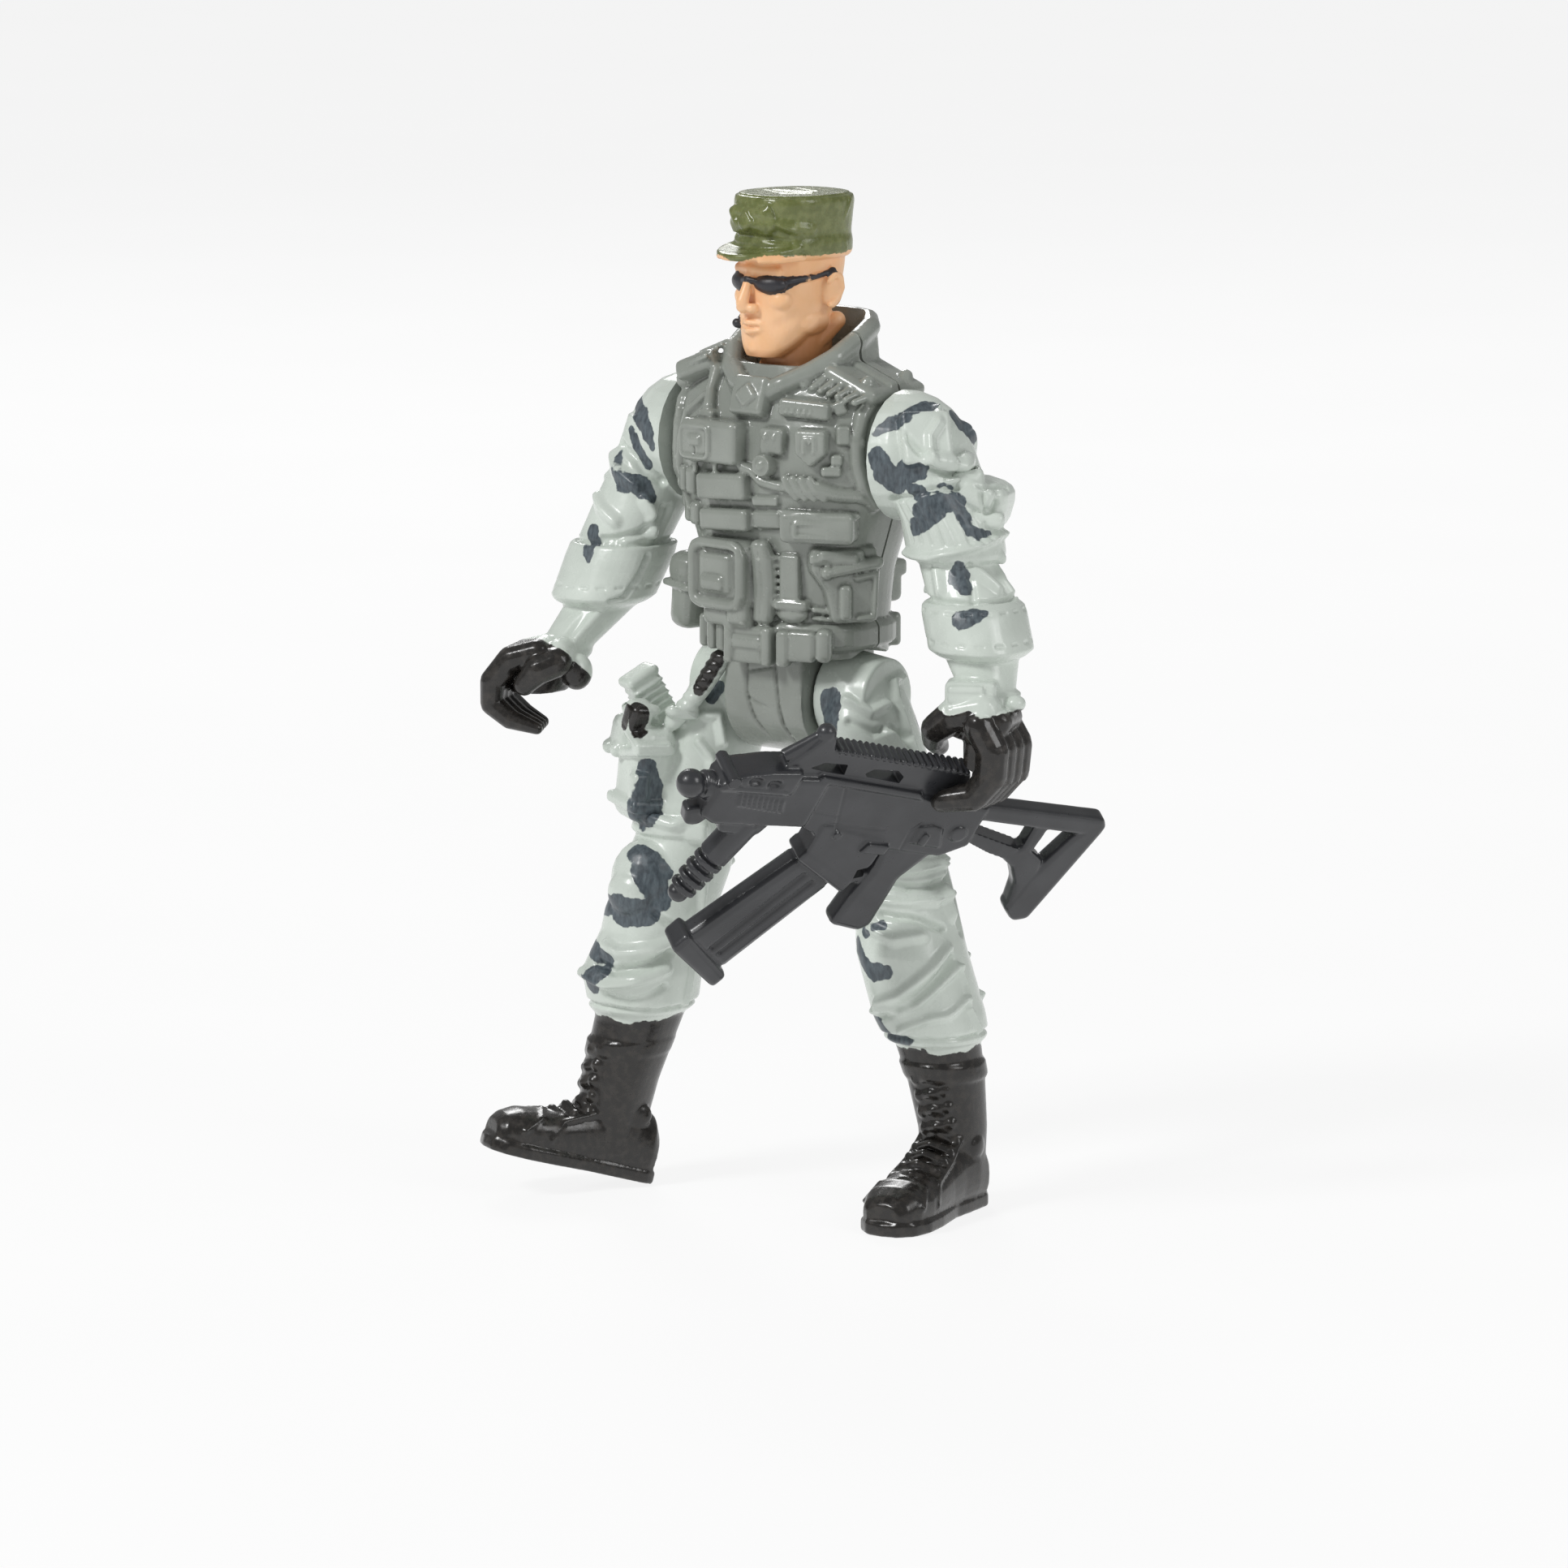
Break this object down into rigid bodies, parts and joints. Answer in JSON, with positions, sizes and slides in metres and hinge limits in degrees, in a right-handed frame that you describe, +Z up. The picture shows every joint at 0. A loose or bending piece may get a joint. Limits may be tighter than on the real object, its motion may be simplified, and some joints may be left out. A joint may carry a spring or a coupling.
{
  "type": "soldier action figure",
  "caption": "Striding toy soldier with cap, pouched vest, painted gloves and boots, turning head, shoulders and hips, and a loose rifle in its left hand.",
  "frame": {"origin": "centre of the bounding box in X and Y, on the surface that the boots stand on", "axes": "+Z up along the figure's height, -Y the way the chest faces, +X the figure's left"},
  "size_m": [0.0576, 0.0412, 0.0969],
  "materials": {
    "vest_plastic": "glossy grey-green moulded plastic",
    "head_plastic": "soft flesh-coloured plastic with a painted cap and glasses",
    "limb_plastic": "pale grey-green plastic with painted camouflage, gloves and boots",
    "rifle_plastic": "satin dark grey moulded plastic"
  },
  "bodies": {
    "torso": {"torso_front": "vest_plastic", "torso_back": "vest_plastic"},
    "head": {"head": "head_plastic"},
    "arm_left": {"arm_left": "limb_plastic"},
    "arm_right": {"arm_right": "limb_plastic"},
    "leg_left": {"leg_left": "limb_plastic"},
    "leg_right": {"leg_right": "limb_plastic"},
    "rifle": {"rifle": "rifle_plastic"}
  },
  "joints": [
    {"name": "neck_turn", "type": "hinge", "parent": "torso", "child": "head", "pos_m": [-0.00177, 0.00993, 0.0774], "axis": [0, 0, 1], "range_deg": [-26, 50]},
    {"name": "shoulder_left", "type": "hinge", "parent": "torso", "child": "arm_left", "pos_m": [0.01023, 0.01043, 0.0725], "axis": [-1, 0, 0], "range_deg": [0, 170]},
    {"name": "shoulder_right", "type": "hinge", "parent": "torso", "child": "arm_right", "pos_m": [-0.01377, 0.01043, 0.0725], "axis": [-1, 0, 0], "continuous": true},
    {"name": "hip_left", "type": "hinge", "parent": "torso", "child": "leg_left", "pos_m": [0.00283, 0.01043, 0.049], "axis": [-1, 0, 0], "range_deg": [-50, 3]},
    {"name": "hip_right", "type": "hinge", "parent": "torso", "child": "leg_right", "pos_m": [-0.00637, 0.01043, 0.049], "axis": [-1, 0, 0], "range_deg": [-55, 50]},
    {"name": "rifle_slide", "type": "slide", "parent": "arm_left", "child": "rifle", "axis": [-0.3792, -0.8965, 0.2291], "range_m": [0, 0.024]}
  ]
}
